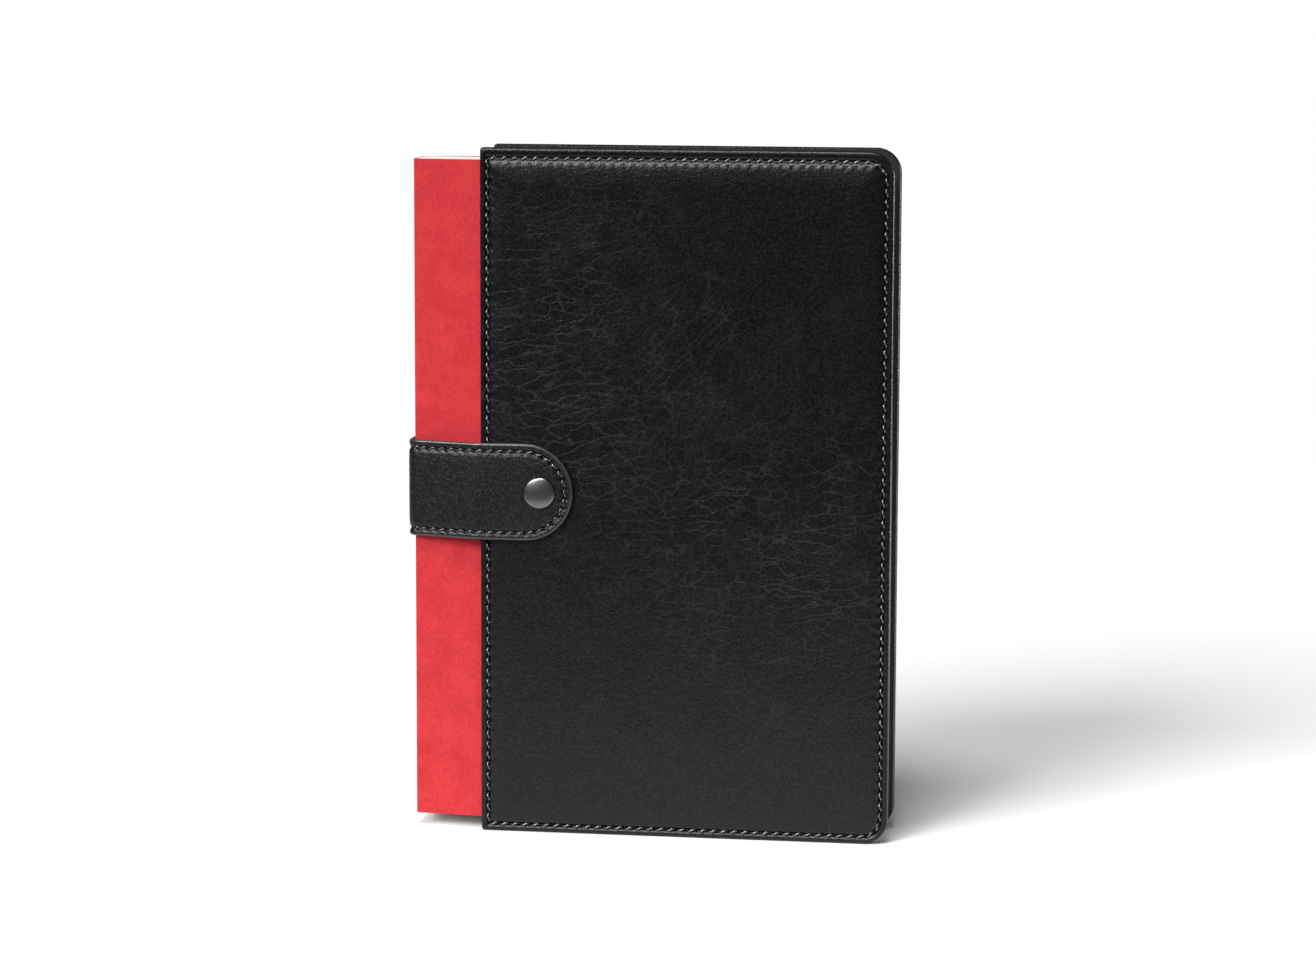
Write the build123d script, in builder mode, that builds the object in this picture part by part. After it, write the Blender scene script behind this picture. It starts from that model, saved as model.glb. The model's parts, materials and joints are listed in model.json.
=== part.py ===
from build123d import *
import math
import os

# Leather notebook cover: a padded leather sleeve on each cover of an A5 notebook, joined by a
# snap strap that runs from the back sleeve round the notebook's spine to the front sleeve.
# It stands upright on the sleeves' bottom edges. +X runs from the spine to the fore edge, +Y
# from the front face to the back, +Z up. The origin is the bottom centre of the whole object.

# ---- driving dimensions, in millimetres ----
panel_width = 130.2
panel_height = 218.0
closed_thickness = 28.0  # from the front sleeve's face to the back sleeve's
fore_corner_radius = 8.0
spine_corner_radius = 1.5

leather = 1.0
foam = 1.2
board = 0.8
lining = 0.3
slot = 0.9  # room for the notebook's cover card
pocket_sheet = 1.0
edge_round = 0.9
turned_edge = 3.0  # how far the turned-in leather reaches round the slot
pocket_sheet_inset = 0.4
fitting_gap = 0.05

notebook_width = 148.0
notebook_height = 210.0
notebook_thickness = 15.0
notebook_front = 5.5  # depth of its front face behind the front sleeve's, at the spine
spine_overhang = 22.15  # how far the notebook's spine stands out of the sleeves
notebook_corner_radius = 3.0
cover_card = 0.6
spine_glue = 0.5
leaf_bundle = 0.8
leaf_gap = 0.1
signature_count = 12
signature_gap = 0.02
spine_inset = 0.3  # the spine card stops this far short of each cover's face

seam_inset = 2.4
seam_width = 0.6
seam_depth = 0.3
foam_margin = 1.0  # the foam stops this far inside the seam

strap_width = 30.7
strap_leather = 1.0
strap_lining = 0.8
strap_gap = 0.3
strap_height = 109.8  # of its middle line above the floor
flap_reach = 30.0  # past the front sleeve's spine-side edge
bend_room = 3.0  # left free for the strap to bend at each corner of the spine
tab_reach = 42.0
flap_hinge_gap = 0.15

snap_reach = 19.5  # past the front sleeve's spine-side edge
cap_radius = 5.0
cap_height = 1.6
cap_rim = 0.5
socket_radius = 4.5
socket_bore_radius = 2.5
socket_roof = 0.4
socket_drop = 1.0  # how far the socket stands out of the strap, into the dimple
stud_radius = 2.3
stud_flange_radius = 4.0
stud_flange = 0.3
stud_height = 1.4  # above its flange
rivet_radius = 1.2
post_flange_radius = 4.0
post_flange = 0.3
dimple_radius = 6.0
dimple_depth = 1.2

# ---- places worked out from them ----
strap_thickness = strap_leather + strap_lining
overall_width = strap_gap + strap_thickness + spine_overhang + panel_width
overall_depth = cap_height + strap_thickness + strap_gap + closed_thickness + strap_thickness

fore_edge_x = overall_width / 2
panel_left = fore_edge_x - panel_width
spine_x = panel_left - spine_overhang
notebook_right = spine_x + notebook_width
notebook_bottom = (panel_height - notebook_height) / 2

front_face = cap_height + strap_thickness + strap_gap - overall_depth / 2
back_face = front_face + closed_thickness
notebook_front_y = front_face + notebook_front
notebook_back_y = notebook_front_y + notebook_thickness

board_start = leather + foam
lining_start = board_start + board
slot_start = lining_start + lining
pocket_start = slot_start + slot
panel_thickness = pocket_start + pocket_sheet
card_clearance = (slot - cover_card) / 2
board_inset = leather + fitting_gap
foam_inset = seam_inset + foam_margin

front_leaves_y = notebook_front_y + cover_card + leaf_gap / 2
back_leaves_y = notebook_back_y - cover_card - leaf_gap / 2
block_front_y = front_leaves_y + leaf_bundle + leaf_gap
block_back_y = back_leaves_y - leaf_bundle - leaf_gap

snap_x = panel_left + snap_reach
flap_hinge_x = panel_left - 1.1
cover_hinge_x = spine_x + cover_card + 0.15
leaf_hinge_x = cover_hinge_x + 1.5

os.makedirs("parts", exist_ok=True)


def save(piece, name):
    """Label a finished piece and write it as its own STEP file."""
    piece.part.label = name
    export_step(piece.part, f"parts/{name}.step")


# ---- sleeves ----
def panel_outline(inset):
    """A sleeve seen square on: round corners at the fore edge, nearly square at the spine side."""
    with BuildSketch() as outline:
        with Locations((panel_left + panel_width / 2, panel_height / 2)):
            Rectangle(panel_width - 2 * inset, panel_height - 2 * inset)
        fillet(outline.vertices().group_by(Axis.X)[-1], fore_corner_radius - inset)
        fillet(outline.vertices().group_by(Axis.X)[0], max(spine_corner_radius - inset, 0.4))
    return outline.sketch


def slot_outline():
    """The slot for the notebook's cover, open at the spine side and closed on the other three."""
    run_out = 2.0
    with BuildSketch() as outline:
        with Locations((panel_left - run_out, panel_height / 2)):
            Rectangle(
                run_out + panel_width - turned_edge,
                panel_height - 2 * turned_edge,
                align=(Align.MIN, Align.CENTER),
            )
        fillet(outline.vertices().group_by(Axis.X)[-1], fore_corner_radius - turned_edge)
    return outline.sketch


def seam_outline(open_at_spine):
    """The line of thread inside a sleeve's edge, all round it or on three sides."""
    with BuildSketch() as outline:
        add(panel_outline(seam_inset - seam_width / 2))
        add(panel_outline(seam_inset + seam_width / 2), mode=Mode.SUBTRACT)
        if open_at_spine:
            with Locations((panel_left, panel_height / 2)):
                Rectangle(4 * seam_inset, panel_height - 2 * turned_edge, mode=Mode.SUBTRACT)
    return outline.sketch


class Sleeve:
    """One padded sleeve: its outer face's place, and which way its layers follow inward."""

    def __init__(self, side, face_y, inward):
        self.side = side
        self.face_y = face_y
        self.inward = inward

    def plane(self, depth):
        """A sketch plane at a depth below the outer face."""
        return Plane.XZ.offset(-(self.face_y + self.inward * depth))

    def layer(self, outline, start, thickness, mode=Mode.ADD):
        """Add or cut an outline from one depth below the outer face for a thickness."""
        with BuildSketch(self.plane(start)) as section:
            add(outline)
        extrude(section.sketch, amount=-self.inward * thickness, mode=mode)

    def disc(self, radius, start, thickness, mode=Mode.ADD):
        """Add or cut a disc round the snap."""
        with BuildSketch(self.plane(start)) as section:
            with Locations((snap_x, strap_height)):
                Circle(radius)
        extrude(section.sketch, amount=-self.inward * thickness, mode=mode)


front = Sleeve("front", front_face, 1)
back = Sleeve("back", back_face, -1)


def outer_leather(sleeve, has_stud):
    """Outer skin with its edges turned in, a groove for the seam, and the stud's dimple."""
    with BuildPart() as skin:
        sleeve.layer(panel_outline(0), 0, pocket_start)
        outer_face = skin.faces().sort_by(Axis.Y)[0 if sleeve.inward > 0 else -1]
        fillet(outer_face.edges(), edge_round)
        sleeve.layer(panel_outline(leather), leather, slot_start - leather, Mode.SUBTRACT)
        sleeve.layer(slot_outline(), slot_start, slot, Mode.SUBTRACT)
        sleeve.layer(seam_outline(open_at_spine=False), 0, seam_depth, Mode.SUBTRACT)
        if has_stud:
            sleeve.disc(dimple_radius + leather, leather, dimple_depth)
            sleeve.disc(dimple_radius, 0, dimple_depth, Mode.SUBTRACT)
            sleeve.disc(rivet_radius + fitting_gap, dimple_depth, leather, Mode.SUBTRACT)
    return skin


def inner_layer(sleeve, inset, start, thickness, hole_radius):
    """A flat layer inside the sleeve, with a hole for what the snap needs there."""
    with BuildPart() as sheet:
        sleeve.layer(panel_outline(inset), start, thickness)
        if hole_radius:
            sleeve.disc(hole_radius, start, thickness, Mode.SUBTRACT)
    return sheet


def inner_pocket_sheet(sleeve):
    """The sheet that closes the slot on the page side."""
    with BuildPart() as sheet:
        sleeve.layer(panel_outline(pocket_sheet_inset), pocket_start, pocket_sheet)
        groove_start = panel_thickness - seam_depth
        sleeve.layer(seam_outline(open_at_spine=True), groove_start, seam_depth, Mode.SUBTRACT)
    return sheet


def panel_stitching(sleeve):
    """Needle thread in the outer face and bobbin thread in the pocket sheet."""
    with BuildPart() as thread:
        sleeve.layer(seam_outline(open_at_spine=False), 0, seam_depth)
        groove_start = panel_thickness - seam_depth
        sleeve.layer(seam_outline(open_at_spine=True), groove_start, seam_depth)
    return thread


for sleeve in (front, back):
    has_stud = sleeve is front
    foam_hole = dimple_radius + leather + fitting_gap if has_stud else 0
    board_hole = rivet_radius + fitting_gap if has_stud else 0
    lining_hole = post_flange_radius + fitting_gap if has_stud else 0
    foam_padding = inner_layer(sleeve, foam_inset, leather, foam, foam_hole)
    stiffener = inner_layer(sleeve, board_inset, board_start, board, board_hole)
    slot_lining = inner_layer(sleeve, board_inset, lining_start, lining, lining_hole)
    save(outer_leather(sleeve, has_stud), f"{sleeve.side}_outer_leather")
    save(foam_padding, f"{sleeve.side}_foam_padding")
    save(stiffener, f"{sleeve.side}_board")
    save(slot_lining, f"{sleeve.side}_lining")
    save(inner_pocket_sheet(sleeve), f"{sleeve.side}_pocket_sheet")
    save(panel_stitching(sleeve), f"{sleeve.side}_panel_stitching")


# ---- notebook ----
def round_fore_corners(piece):
    """Round a sheet's or a block's two corners at the fore edge."""
    fillet(piece.edges().filter_by(Axis.Y).group_by(Axis.X)[-1], notebook_corner_radius)


def notebook_cover(hinge_y, slot_y, inward):
    """One soft cover: it leans out from the spine, then lies flat in its sleeve's slot."""
    bend_x = panel_left - 2.0
    card = inward * cover_card
    with BuildPart() as cover:
        with BuildSketch(Plane.XY.offset(notebook_bottom)):
            with BuildLine():
                Polyline(
                    (cover_hinge_x, hinge_y),
                    (bend_x, slot_y),
                    (notebook_right, slot_y),
                    (notebook_right, slot_y + card),
                    (bend_x, slot_y + card),
                    (cover_hinge_x, hinge_y + card),
                    close=True,
                )
            make_face()
        extrude(amount=notebook_height)
        round_fore_corners(cover)
    return cover


def upright_slabs(left, right, low_y, high_y, copies=1, gap=0.0):
    """Slabs as tall as the notebook, which share its thickness from low_y to high_y."""
    pitch = (high_y - low_y) / copies
    with BuildPart() as slabs:
        with Locations(((left + right) / 2, (low_y + high_y) / 2, panel_height / 2)):
            with GridLocations(1, pitch, 1, copies):
                Box(right - left, pitch - gap, notebook_height)
        if right == notebook_right:
            round_fore_corners(slabs)
    return slabs


front_slot_y = front_face + slot_start + card_clearance
back_slot_y = back_face - slot_start - card_clearance
save(notebook_cover(notebook_front_y, front_slot_y, 1), "notebook_front_cover")
save(notebook_cover(notebook_back_y, back_slot_y, -1), "notebook_back_cover")

spine_low_y = notebook_front_y + spine_inset
spine_high_y = notebook_back_y - spine_inset
spine_cover = upright_slabs(spine_x, spine_x + cover_card, spine_low_y, spine_high_y)
save(spine_cover, "notebook_spine_cover")

glue_x = spine_x + cover_card
block_x = glue_x + spine_glue
save(upright_slabs(glue_x, block_x, block_front_y, block_back_y), "spine_glue")
page_block = upright_slabs(
    block_x, notebook_right, block_front_y, block_back_y, signature_count, signature_gap
)
save(page_block, "page_block")
save(
    upright_slabs(leaf_hinge_x, notebook_right, front_leaves_y, front_leaves_y + leaf_bundle),
    "front_leaves",
)
save(
    upright_slabs(leaf_hinge_x, notebook_right, back_leaves_y - leaf_bundle, back_leaves_y),
    "back_leaves",
)


# ---- strap ----
class StrapRun:
    """One straight run of the strap, from start to end along its inner face, seen from above."""

    def __init__(self, start, end, outward, rounded=False):
        along = (end[0] - start[0], end[1] - start[1])
        self.length = math.hypot(*along)
        self.rounded = rounded
        # the outward side is chosen so that the run's face looks away from the notebook
        normal = (outward * along[1], -outward * along[0], 0)
        self.plane = Plane(
            origin=(start[0], start[1], strap_height), x_dir=(*along, 0), z_dir=normal
        )

    def outline(self):
        """The run's face, with its far end round where the strap ends."""
        with BuildSketch() as shape:
            straight = self.length - (strap_width / 2 if self.rounded else 0)
            Rectangle(straight, strap_width, align=(Align.MIN, Align.CENTER))
            if self.rounded:
                with Locations((straight, 0)):
                    Circle(strap_width / 2)
        return shape.sketch

    def seam(self):
        """Thread along both long edges, and round the far end where the strap ends."""
        offset_y = strap_width / 2 - seam_inset
        straight = self.length - (strap_width / 2 if self.rounded else 0)
        with BuildSketch() as shape:
            with BuildLine():
                Line((0, -offset_y), (straight, -offset_y))
                if self.rounded:
                    CenterArc((straight, 0), offset_y, -90, 180)
                Line((straight, offset_y), (0, offset_y))
            trace(line_width=seam_width)
        return shape.sketch

    def layer(self, outline, start, thickness, mode=Mode.ADD):
        """Add or cut an outline from one height above the inner face for a thickness."""
        with BuildSketch(self.plane.offset(start)) as section:
            add(outline)
        extrude(section.sketch, amount=thickness, mode=mode)


def leather_layer(run):
    """The strap's outer leather, grooved for its seam."""
    with BuildPart() as layer:
        run.layer(run.outline(), strap_lining, strap_leather)
        run.layer(run.seam(), strap_thickness - seam_depth, seam_depth, Mode.SUBTRACT)
    return layer


def lining_layer(run):
    """The strap's lining, against the notebook."""
    with BuildPart() as layer:
        run.layer(run.outline(), 0, strap_lining)
    return layer


def strap_stitching(run):
    """The thread in the strap's seam."""
    with BuildPart() as thread:
        run.layer(run.seam(), strap_thickness - seam_depth, seam_depth)
    return thread


def toward(start, end, distance):
    """The point at a distance from start on the way to end."""
    length = math.dist(start, end)
    return tuple(a + (b - a) * distance / length for a, b in zip(start, end))


flap_inner_y = front_face - strap_gap
front_corner = (cover_hinge_x - 0.2, notebook_front_y - strap_gap)
back_corner = (cover_hinge_x - 0.2, notebook_back_y + strap_gap)
bridge_end = (flap_hinge_x - flap_hinge_gap, flap_inner_y)
tab_start = (panel_left + edge_round, back_face)
back_bridge_end = (panel_left - flap_hinge_gap, back_face)
spine_run_x = spine_x - strap_gap

strap_runs = {
    "strap_flap": StrapRun(
        (flap_hinge_x, flap_inner_y), (panel_left + flap_reach, flap_inner_y), 1, rounded=True
    ),
    "strap_front_bridge": StrapRun(
        toward(front_corner, bridge_end, bend_room), bridge_end, 1
    ),
    "strap_spine_run": StrapRun(
        (spine_run_x, notebook_front_y + bend_room),
        (spine_run_x, notebook_back_y - bend_room),
        -1,
    ),
    "strap_back_bridge": StrapRun(
        toward(back_corner, back_bridge_end, bend_room), back_bridge_end, -1
    ),
    "strap_anchor_tab": StrapRun(
        tab_start, (panel_left + tab_reach, back_face), -1, rounded=True
    ),
}

flap_outer_y = flap_inner_y - strap_thickness
flap = strap_runs.pop("strap_flap")


def pierced(flap_layer, radius):
    """One layer of the flap with a round hole through it for the snap."""
    with BuildPart() as layer:
        add(flap_layer.part)
        with BuildSketch(flap.plane):
            with Locations((snap_x - flap_hinge_x, 0)):
                Circle(radius)
        extrude(amount=strap_thickness, mode=Mode.SUBTRACT)
    return layer


# the snap's cap is on the strap's face and its rivet goes through to the socket behind
save(pierced(leather_layer(flap), rivet_radius + fitting_gap), "strap_flap_leather")
save(pierced(lining_layer(flap), socket_radius + fitting_gap), "strap_flap_lining")
save(strap_stitching(flap), "strap_flap_stitching")

for name, run in strap_runs.items():
    save(leather_layer(run), f"{name}_leather")
    save(lining_layer(run), f"{name}_lining")
    save(strap_stitching(run), f"{name}_stitching")


# ---- snap ----
snap_axis = Axis((snap_x, 0, strap_height), (0, 1, 0))
snap_plan = Plane.XY.offset(strap_height)
socket_top_y = flap_inner_y - strap_lining

with BuildPart() as snap_cap:
    with BuildSketch(snap_plan):
        with BuildLine():
            stem_end_y = socket_top_y + socket_roof
            Polyline(
                (snap_x, flap_outer_y - cap_height),
                (snap_x, stem_end_y),
                (snap_x + rivet_radius, stem_end_y),
                (snap_x + rivet_radius, flap_outer_y),
                (snap_x + cap_radius, flap_outer_y),
                (snap_x + cap_radius, flap_outer_y - cap_rim),
            )
            RadiusArc(
                (snap_x + cap_radius, flap_outer_y - cap_rim),
                (snap_x, flap_outer_y - cap_height),
                (cap_radius**2 + (cap_height - cap_rim) ** 2) / (2 * (cap_height - cap_rim)),
            )
        make_face()
    revolve(axis=snap_axis)
save(snap_cap, "snap_cap")

with BuildPart() as snap_socket:
    with BuildSketch(front.plane(0).offset(strap_gap + strap_lining)):
        with Locations((snap_x, strap_height)):
            Circle(socket_radius)
    extrude(amount=-(strap_lining + socket_drop))
    with BuildSketch(front.plane(0).offset(strap_gap + strap_lining - socket_roof)):
        with Locations((snap_x, strap_height)):
            Circle(socket_bore_radius)
    extrude(amount=-(strap_lining + socket_drop), mode=Mode.SUBTRACT)
    with BuildSketch(front.plane(0).offset(strap_gap + strap_lining)):
        with Locations((snap_x, strap_height)):
            Circle(rivet_radius + fitting_gap)
    extrude(amount=-socket_roof, mode=Mode.SUBTRACT)
save(snap_socket, "snap_socket")

with BuildPart() as snap_stud:
    front.disc(stud_flange_radius, dimple_depth - stud_flange, stud_flange)
    front.disc(stud_radius, dimple_depth - stud_flange - stud_height, stud_height)
    fillet(snap_stud.edges().filter_by(GeomType.CIRCLE).sort_by(Axis.Y)[0], 0.4)
    front.disc(rivet_radius + fitting_gap, dimple_depth - stud_flange, stud_flange, Mode.SUBTRACT)
save(snap_stud, "snap_stud")

with BuildPart() as snap_post:
    front.disc(post_flange_radius, lining_start, post_flange)
    front.disc(rivet_radius, dimple_depth - stud_flange, lining_start - dimple_depth + stud_flange)
save(snap_post, "snap_post")
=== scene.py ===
import json
import math

import bmesh
import bpy
import numpy as np
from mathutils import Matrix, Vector, noise

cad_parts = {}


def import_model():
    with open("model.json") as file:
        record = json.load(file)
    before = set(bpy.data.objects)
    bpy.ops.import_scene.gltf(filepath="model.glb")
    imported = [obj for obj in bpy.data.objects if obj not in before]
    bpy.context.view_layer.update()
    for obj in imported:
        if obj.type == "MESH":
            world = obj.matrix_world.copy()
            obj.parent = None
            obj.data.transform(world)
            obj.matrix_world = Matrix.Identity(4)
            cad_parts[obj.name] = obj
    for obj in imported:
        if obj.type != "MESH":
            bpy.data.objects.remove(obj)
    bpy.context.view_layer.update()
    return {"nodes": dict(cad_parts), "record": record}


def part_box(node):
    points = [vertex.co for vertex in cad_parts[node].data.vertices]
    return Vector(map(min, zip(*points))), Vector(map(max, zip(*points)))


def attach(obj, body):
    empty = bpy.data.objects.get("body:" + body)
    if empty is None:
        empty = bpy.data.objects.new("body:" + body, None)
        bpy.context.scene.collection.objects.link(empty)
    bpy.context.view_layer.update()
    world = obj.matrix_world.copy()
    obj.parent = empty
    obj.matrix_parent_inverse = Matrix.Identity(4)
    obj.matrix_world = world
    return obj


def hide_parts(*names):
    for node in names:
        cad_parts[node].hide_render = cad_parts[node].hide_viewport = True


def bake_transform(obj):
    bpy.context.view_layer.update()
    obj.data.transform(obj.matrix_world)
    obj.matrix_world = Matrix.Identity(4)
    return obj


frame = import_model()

# The looks of a leather notebook cover: two padded sleeves, a red notebook and a snap strap.
# Lengths and places named here are millimetres; Blender's own data is in metres.
MM = 0.001


# ---- places read from the frame ----
def box(node):
    """A CAD node's lowest and highest corners at rest."""
    low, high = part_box(node)
    return low / MM, high / MM


sleeve_low, sleeve_high = box("front_outer_leather")
spine_low, spine_high = box("notebook_spine_cover")
card_low, card_high = box("notebook_front_cover")
cap_low, cap_high = box("snap_cap")
flap_low, flap_high = box("strap_flap_leather")

panel_left = sleeve_low.x
panel_width = sleeve_high.x - sleeve_low.x
panel_height = sleeve_high.z - sleeve_low.z
front_face = sleeve_low.y
back_face = box("back_outer_leather")[1].y
back_card_face = box("notebook_back_cover")[1].y
spine_middle = (spine_low.y + spine_high.y) / 2
tab_end = box("strap_anchor_tab_leather")[1].x
snap_x = (cap_low.x + cap_high.x) / 2
cap_radius = (cap_high.x - cap_low.x) / 2
strap_z = (cap_low.z + cap_high.z) / 2
strap_half = (flap_high.z - flap_low.z) / 2

# ---- sleeve shape ----
FORE_RADIUS = 8.0
SPINE_RADIUS = 0.9
SEAM_INSET = 2.4
TOP_SEAM_DROP = 0.9      # the top seam lies this much further in than the others
TOP_DROP_FROM = 0.6      # the drop grows from this inset
TOP_DROP_TO = 2.0        # to this one
STITCH_PITCH = 3.4
POINTS_PER_STITCH = 4
SLOT_BAND = 3.5          # the slot's open side is this near the spine side
SLOT_MARGIN = 3.8        # and ends this far from the sleeve's bottom and top
# a sleeve's section from its hidden back, round the turned edge and the seam, to its padding:
# inset from the outline, depth below the face, and that depth along the slot's open side
SLEEVE_SECTION = (
    (3.2, 2.9, 2.9),
    (3.0, 4.15, 3.25),
    (0.9, 4.18, 3.28),
    (0.55, 4.06, 3.18),
    (0.27, 3.83, 3.0),
    (0.07, 3.5, 2.75),
    (0.0, 2.4, 2.1),
    (0.03, 1.6, 1.5),
    (0.1, 1.24, 1.24),
    (0.26, 1.0, 1.0),
    (0.52, 0.76, 0.76),
    (0.7, 0.67, 0.67),
    (0.95, 0.63, 0.63),
    (1.3, 0.64, 0.64),
    (1.7, 0.78, 0.78),
    (2.05, 1.0, 1.0),
    (SEAM_INSET, 1.2, 1.2),
    (2.6, 1.08, 1.08),
    (2.9, 0.85, 0.85),
    (3.3, 0.55, 0.55),
    (3.8, 0.33, 0.33),
    (4.6, 0.16, 0.16),
    (5.6, 0.03, 0.03),
    (7.0, -0.08, -0.08),
    (8.3, -0.16, -0.16),
    (10.0, -0.22, -0.22),
)
CROWN = -0.22            # the padded middle's depth below the face; it stands out of it

# ---- padding and needle holes ----
SWELLS = ((0.16, 42.0, 0.0), (0.06, 13.0, 5.0))      # height, wavelength and added seed
SWELL_FROM = 3.0         # the padding's unevenness grows from this inset
SWELL_TO = 14.0          # to this one
DIMPLE_DEPTH = 1.45      # the dimple that holds the stud
DIMPLE_FLOOR = 4.4       # radius of its flat floor
DIMPLE_RIM = 8.4         # radius where it ends
HOLE_SHARPNESS = 1.6     # how fast a needle hole closes along the seam
SLEEVE_HOLE_REACH = 0.4  # how far a hole reaches to each side of the seam
SLEEVE_HOLE_DEPTH = 1.05
STRAP_HOLE_REACH = 0.6
PUCKER_DEPTH = 0.13
PUCKER_INSET = SEAM_INSET + 1.1
PUCKER_REACH = 0.8

# ---- thread ----
PANEL_SEAM_DEPTH = 1.12  # the holes' depth below the sleeve's face
POCKET_SEAM_DEPTH = 5.2  # the same for the pocket side's thread
STRAP_SEAM_HEIGHT = 1.44
# the thread's width, how far each stitch leans to the side, how high its middle rises above the
# holes and how deep its ends dive into them
PANEL_THREAD = {"width": 0.76, "slant": 0.28, "rise": 0.3, "dive": 0.9}
POCKET_THREAD = {"width": 0.5, "slant": 0.28, "rise": 0.3, "dive": 0.9}
STRAP_THREAD = {"width": 0.52, "slant": 0.26, "rise": 0.26, "dive": 0.7}
THREAD_RINGS = 13
THREAD_SIDES = 8
THREAD_ARCH = 2.6        # a larger power makes each stitch flatter in its middle

# ---- strap shape ----
STRAP_SEAM_INSET = 2.4
STRAP_PITCH = 3.1
STRAP_THICKNESS = 1.8
# the strap's section from the middle of its lining, round its edge, to the middle of its face:
# inset from the edge, height above the lining
STRAP_SECTION = (
    (strap_half, 0.0),
    (9.0, 0.0),
    (3.0, 0.0),
    (0.7, 0.02),
    (0.2, 0.12),
    (0.0, 0.45),
    (0.0, 1.15),
    (0.1, 1.42),
    (0.32, 1.58),
    (0.7, 1.66),
    (1.3, 1.66),
    (1.9, 1.56),
    (STRAP_SEAM_INSET, 1.4),
    (2.9, 1.54),
    (3.5, 1.68),
    (4.5, 1.75),
    (7.0, 1.79),
    (11.0, STRAP_THICKNESS),
    (strap_half, STRAP_THICKNESS),
)
STRAP_EDGE_ROWS = range(4, 9)      # painted edge; the rows before are lining, those after leather
LEATHER_SLOT, EDGE_SLOT, LINING_SLOT = range(3)
STRAP_HOLES_ABOVE = 1.0            # needle holes are sunk in the leather, not in the lining


# ---- meshes ----
WELD_DISTANCE = 0.002
LEAST_EDGE = 0.0005


def make_object(name, points, faces, finishes, face_slots=None, hole_shade_marks=None):
    """A smooth mesh object from points in millimetres; hole_shade_marks says where painted shade
    darkens its needle holes.
    """
    mesh = bpy.data.meshes.new(name)
    mesh.from_pydata([tuple(p) for p in np.asarray(points, float) * MM], [], faces)
    for finish in finishes:
        mesh.materials.append(finish)
    if face_slots is not None:
        mesh.polygons.foreach_set("material_index", face_slots)
    mesh.polygons.foreach_set("use_smooth", [True] * len(mesh.polygons))
    if hole_shade_marks is not None:
        mesh.attributes.new("hole_shade", "FLOAT", "POINT").data.foreach_set("value", hole_shade_marks)
    mesh.validate()
    mesh.update()
    obj = bpy.data.objects.new(name, mesh)
    bpy.context.scene.collection.objects.link(obj)
    return obj


def ring_faces(first, size, flipped=False):
    """Faces between a ring of points and the next ring, when the first one starts at first."""
    faces = []
    for here in range(size):
        after = (here + 1) % size
        face = (first + here, first + after, first + size + after, first + size + here)
        faces.append((face[0], face[3], face[2], face[1]) if flipped else face)
    return faces


def weld(obj):
    """Merge points that lie on each other and make the faces look outward."""
    mesh = bmesh.new()
    mesh.from_mesh(obj.data)
    bmesh.ops.remove_doubles(mesh, verts=mesh.verts, dist=WELD_DISTANCE * MM)
    bmesh.ops.dissolve_degenerate(mesh, edges=mesh.edges, dist=LEAST_EDGE * MM)
    bmesh.ops.recalc_face_normals(mesh, faces=mesh.faces)
    mesh.to_mesh(obj.data)
    mesh.free()


def sharpen(obj, degrees):
    """Mark edges that turn more than an angle as sharp."""
    mesh = bmesh.new()
    mesh.from_mesh(obj.data)
    for edge in mesh.edges:
        edge.smooth = edge.is_manifold and edge.calc_face_angle(0.0) < math.radians(degrees)
    mesh.to_mesh(obj.data)
    mesh.free()


def smoothstep(low, high, value):
    """0 below low, 1 above high and smooth between them."""
    t = np.clip((value - low) / (high - low), 0.0, 1.0)
    return t * t * (3 - 2 * t)


def soft_noise(x, z, wavelength, seed):
    """Smooth unevenness over a surface, about -1 to 1."""
    return np.array([
        noise.noise(Vector((a / wavelength + seed, b / wavelength - seed, seed)))
        for a, b in zip(x, z)
    ])


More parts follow.
